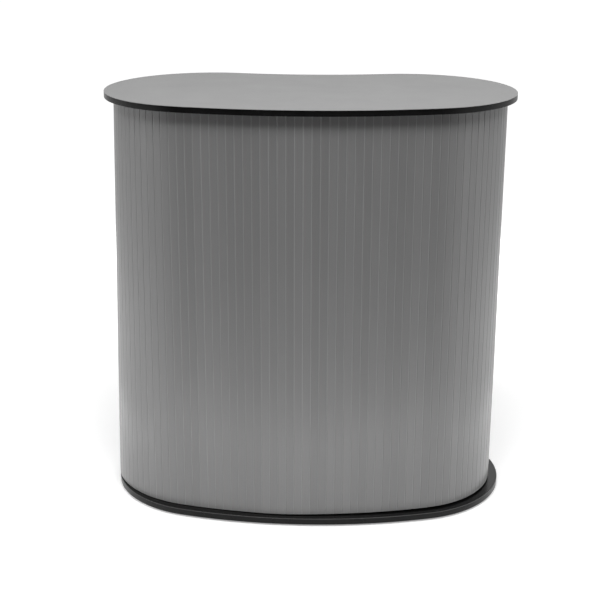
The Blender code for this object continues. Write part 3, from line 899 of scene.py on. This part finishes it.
def make_flange(name, spot, low, high, facing, finishes, body):
    """Flange with its spigot, and the screws that hold the flange."""
    seat, tip = (low, high) if facing > 0 else (high, low)
    rim = seat + facing * FLANGE_THICKNESS
    corners = [(0, seat), (FLANGE_RADIUS, seat), (FLANGE_RADIUS, rim), (PLUG_RADIUS, rim),
               (PLUG_RADIUS, tip), (0, tip)]
    radii = [0, FLANGE_SEAT_EASE, FLANGE_EASE, SPIGOT_ROOT_EASE, SPIGOT_TAPER, 0]
    turned(name.replace("spigot", "post_holder"), spot, eased(corners, radii, FINE_STEPS),
           material=finishes["steel"], slot="zinc_steel", body=body, nodes=[name])
    verts = []
    faces = []
    draw = random.Random(name)
    for number in range(FLANGE_SCREWS):
        angle = 2 * math.pi * number / FLANGE_SCREWS + QUARTER
        place_of = (spot[0] + SCREW_CIRCLE * math.cos(angle), spot[1] + SCREW_CIRCLE * math.sin(angle))
        screw(verts, faces, place_of, rim, facing, draw.uniform(0, QUARTER))
    add_piece(name.replace("spigot", "holder_screws"), verts, faces, material=finishes["steel"],
              slot="zinc_steel", body=body)


def thread(low, high):
    """Profile of a stud from low to high, ridged like its thread."""
    turns = int((high - STUD_POINT - low) / THREAD_PITCH)
    line = [(STUD_RADIUS, low)]
    for turn in range(turns):
        crest = low + THREAD_PITCH * (turn + 0.5)
        line.append((STUD_RADIUS, crest - THREAD_PITCH * THREAD_CREST_SHARE))
        line.append((STUD_RADIUS, crest + THREAD_PITCH * THREAD_CREST_SHARE))
        line.append((STUD_RADIUS - THREAD_DEPTH, crest + THREAD_PITCH / 2))
    line.append((STUD_RADIUS, high - STUD_POINT))
    line.append((STUD_RADIUS - STUD_POINT, high))
    return line


def make_posts(finishes):
    """Each post: tubes with eased ends, stud, socket and the two flanges."""
    for corner in CORNERS:
        spot = middle("lower_post_" + corner)
        for length in ("lower_post_", "upper_post_"):
            low, high = span(length + corner)
            corners = [(BORE_RADIUS, low), (POST_RADIUS, low), (POST_RADIUS, high), (BORE_RADIUS, high)]
            turned(length.replace("post", "tube") + corner, spot,
                   eased(corners, [TUBE_EASE] * len(corners), COARSE_STEPS),
                   material=finishes["aluminium"], slot="satin_aluminium", body="desk",
                   nodes=[length + corner])
        low, high = span("post_stud_" + corner)
        collar = LOWER_COLLAR_HIGH - COLLAR_THICKNESS
        corners = [(0, low), (PLUG_RADIUS, low), (PLUG_RADIUS, collar), (POST_RADIUS, collar),
                   (POST_RADIUS, LOWER_COLLAR_HIGH), (STUD_RADIUS, LOWER_COLLAR_HIGH)]
        radii = [0, PLUG_EASE, 0, COLLAR_EASE, COLLAR_EASE, 0]
        profile = eased(corners, radii, COARSE_STEPS)[:-1]
        profile += thread(LOWER_COLLAR_HIGH, high) + [(0, high)]
        turned("shelf_stud_" + corner, spot, profile, material=finishes["steel"],
               slot="zinc_steel", body="desk", nodes=["post_stud_" + corner])
        low, high = span("post_socket_" + corner)
        corners = [(0, low + SOCKET_DEPTH), (STUD_HOLE_RADIUS, low + SOCKET_DEPTH),
                   (STUD_HOLE_RADIUS, low), (POST_RADIUS, low), (POST_RADIUS, low + COLLAR_THICKNESS),
                   (PLUG_RADIUS, low + COLLAR_THICKNESS), (PLUG_RADIUS, high), (0, high)]
        radii = [0, 0, SOCKET_MOUTH_EASE, COLLAR_EASE, COLLAR_EASE, 0, PLUG_EASE, 0]
        turned("shelf_socket_" + corner, spot, eased(corners, radii, COARSE_STEPS),
               material=finishes["plastic"], slot="black_plastic", body="desk",
               nodes=["post_socket_" + corner])
        low, high = span("base_spigot_" + corner)
        make_flange("base_spigot_" + corner, spot, low, high, 1, finishes, "desk")
        low, high = span("top_spigot_" + corner)
        make_flange("top_spigot_" + corner, spot, low, high, -1, finishes, "top")


def make_feet(finishes):
    """Rubber feet, each with a screw in its recess."""
    for where in FEET:
        name = "foot_" + where
        spot = middle(name)
        low, high = span(name)
        recess = low + FOOT_RECESS_DEPTH
        corners = [(0, recess), (FOOT_RECESS_RADIUS, recess), (FOOT_RECESS_RADIUS, low),
                   (FOOT_RADIUS, low), (FOOT_RADIUS, high), (0, high)]
        radii = [0, 0, FOOT_SMALL_EASE, FOOT_EASE, FOOT_SMALL_EASE, 0]
        turned("rubber_" + name, spot, eased(corners, radii, FINE_STEPS),
               material=finishes["rubber"], slot="black_rubber", body="desk", nodes=[name])
        verts = []
        faces = []
        screw(verts, faces, spot, recess, -FOOT_SCREW_SHARE, FOOT_SCREW_TURN)
        add_piece("screw_of_" + name, verts, faces, material=finishes["steel"], slot="zinc_steel",
                  body="desk")


def make_shelf(finishes):
    """The shelf, with a hole for each stud."""
    low, high = span("shelf")
    profile = board_profile(SHELF_INSET, low, high, SHELF_ROUND, SHELF_ROUND)
    bm = bmesh.new()

    def ring(points, height):
        verts = [bm.verts.new((point[0], point[1], height)) for point in points]
        edges = [bm.edges.new((verts[i - 1], verts[i])) for i in range(len(verts))]
        return verts, edges

    def wall(first, second):
        for i in range(len(first)):
            bm.faces.new((first[i - 1], first[i], second[i], second[i - 1]))

    outer = [ring(outline(inset), height) for inset, height in profile]
    for first, second in zip(outer, outer[1:]):
        wall(first[0], second[0])
    rims = {low: list(outer[0][1]), high: list(outer[-1][1])}
    for corner in CORNERS:
        x, y = middle("post_stud_" + corner)
        circle = [(x + STUD_HOLE_RADIUS * math.cos(2 * math.pi * side / ROUND_SIDES),
                   y + STUD_HOLE_RADIUS * math.sin(2 * math.pi * side / ROUND_SIDES))
                  for side in range(ROUND_SIDES)]
        under, under_edges = ring(circle, low)
        over, over_edges = ring(circle, high)
        wall(under, over)
        rims[low] += under_edges
        rims[high] += over_edges
    for edges in rims.values():
        bmesh.ops.triangle_fill(bm, use_beauty=True, edges=edges)
    bm.verts.index_update()
    verts = [tuple(vert.co) for vert in bm.verts]
    faces = [tuple(vert.index for vert in face.verts) for face in bm.faces]
    bm.free()
    add_piece("storage_shelf", verts, faces, material=finishes["board"], slot="black_board",
              body="desk", nodes=["shelf"])


# Stage

def seen_rays(tree, gloss=1.0):
    """One for rays that see the scene, the share gloss for its mirror image, zero for light."""
    path = node(tree, "LightPath").outputs
    mirrored = maths(tree, "MAXIMUM", path["Is Glossy Ray"], path["Is Transmission Ray"])
    return maths(tree, "MULTIPLY_ADD", mirrored, gloss, path["Is Camera Ray"])


def gloss_share(tree, here):
    """How much of the floor's white shows in gloss, by its direction from the desk."""
    way = node(tree, "VectorMath", {"operation": "NORMALIZE"}, i0=here).outputs["Vector"]
    ahead = node(tree, "VectorMath", {"operation": "DOT_PRODUCT"}, i0=way,
                 i1=(0.0, -1.0, 0.0)).outputs["Value"]
    soft = {"interpolation_type": "SMOOTHSTEP"}
    beside = node(tree, "MapRange", soft, Value=ahead, From_Min=math.cos(GLOSS_AHEAD_NONE),
                  From_Max=math.cos(GLOSS_AHEAD_FULL), To_Min=1.0, To_Max=0.0)
    behind = node(tree, "MapRange", soft, Value=ahead, From_Min=math.cos(GLOSS_BEHIND_FULL),
                  From_Max=math.cos(GLOSS_BEHIND_NONE), To_Min=GLOSS_BEHIND_SHARE, To_Max=1.0)
    return maths(tree, "MULTIPLY", beside.outputs["Result"], behind.outputs["Result"])


def make_floor():
    """White floor that keeps the desk's shadow."""
    bpy.ops.mesh.primitive_circle_add(vertices=FLOOR_SIDES, radius=FLOOR_RADIUS, fill_type="NGON")
    floor = bpy.context.object
    floor.name = "floor"
    material = bpy.data.materials.new("white_floor")
    material.use_nodes = True
    tree = material.node_tree
    tree.nodes.clear()
    here = node(tree, "TexCoord").outputs["Object"]
    reach = node(tree, "VectorMath", {"operation": "LENGTH"}, i0=here).outputs["Value"]
    lift = node(tree, "MapRange", {"interpolation_type": "SMOOTHSTEP"}, Value=reach,
                From_Min=NEAR_REACH, From_Max=FAR_REACH, To_Min=NEAR_LIFT, To_Max=FAR_LIFT)
    seen = seen_rays(tree, gloss_share(tree, here))
    shown = maths(tree, "MULTIPLY", seen, lift.outputs["Result"])
    matt = node(tree, "BsdfDiffuse", Color=(FLOOR_TONE, FLOOR_TONE, FLOOR_TONE, 1.0))
    glow = node(tree, "Emission", Color=(1.0, 1.0, 1.0, 1.0), Strength=shown)
    both = node(tree, "AddShader", i0=matt.outputs[0], i1=glow.outputs[0])
    out = node(tree, "OutputMaterial")
    connect(tree, both.outputs[0], out.inputs["Surface"])
    floor.data.materials.append(material)


def make_world():
    """White surroundings that add a little light of their own."""
    world = bpy.data.worlds.new("studio")
    bpy.context.scene.world = world
    world.use_nodes = True
    tree = world.node_tree
    tree.nodes.clear()
    strength = maths(tree, "MULTIPLY_ADD", seen_rays(tree), 1.0 - WORLD_LIGHT, WORLD_LIGHT)
    sky = node(tree, "Background", Color=(1.0, 1.0, 1.0, 1.0), Strength=strength)
    out = node(tree, "OutputWorld")
    connect(tree, sky.outputs[0], out.inputs["Surface"])


def add_softbox(name, place_of, target, size, power):
    """A soft rectangular light aimed at a point, itself unseen in the picture and in reflections."""
    light = bpy.data.lights.new(name, "AREA")
    light.shape = "RECTANGLE"
    light.size, light.size_y = size
    light.energy = power
    lamp = bpy.data.objects.new(name, light)
    lamp.visible_camera = False
    lamp.visible_glossy = False
    bpy.context.scene.collection.objects.link(lamp)
    lamp.location = place_of
    lamp.rotation_euler = (Vector(target) - Vector(place_of)).to_track_quat("-Z", "Y").to_euler()
    return lamp


def make_camera():
    """Camera in front of the desk, a little above its top."""
    data = bpy.data.cameras.new("camera")
    data.sensor_width = SENSOR
    data.lens = FOCAL_PIXELS / IMAGE_PIXELS * SENSOR
    camera = bpy.data.objects.new("camera", data)
    camera.location = CAMERA_PLACE
    turned_up = Matrix.Rotation(QUARTER - CAMERA_PITCH, 3, "X") @ Matrix.Rotation(CAMERA_ROLL, 3, "Z")
    camera.rotation_euler = (Matrix.Rotation(CAMERA_YAW, 3, "Z") @ turned_up).to_euler()
    bpy.context.scene.collection.objects.link(camera)
    bpy.context.scene.camera = camera


WRAP_LOW, WRAP_HIGH = span("wrap_slats")
LOWER_COLLAR_HIGH = span("shelf")[0] - GAP

bpy.context.scene.view_settings.view_transform = "Standard"
make_camera()
make_floor()
make_world()
for lamp_name, lamp_values in LAMPS.items():
    add_softbox(lamp_name, *lamp_values)

FINISHES = {
    "laminate": laminate_material(),
    "top_edging": edging_material("top_edging_face", 0.003, 0.24, 0.15),
    "base_edging": edging_material("base_edging_face", 0.004, 0.30, 0.25, span("base_edge_band")[1]),
    "board": board_material(),
    "slats": slat_material(),
    "backing": backing_material(),
    "channel": channel_material(),
    "tape": tape_material(),
    "aluminium": aluminium_material(),
    "steel": steel_material(),
    "plastic": plastic_material(),
    "rubber": rubber_material(),
}
make_boards(FINISHES)
make_shelf(FINISHES)
make_posts(FINISHES)
make_feet(FINISHES)
make_wrap(FINISHES)
for node_name, finish_name in (("top_board", "board"), ("base_board", "board"),
                               ("top_hook_tape", "tape"), ("base_hook_tape", "tape")):
    for material_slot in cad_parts[node_name].material_slots:
        material_slot.link = "OBJECT"
        material_slot.material = FINISHES[finish_name]

bpy.context.view_layer.update()
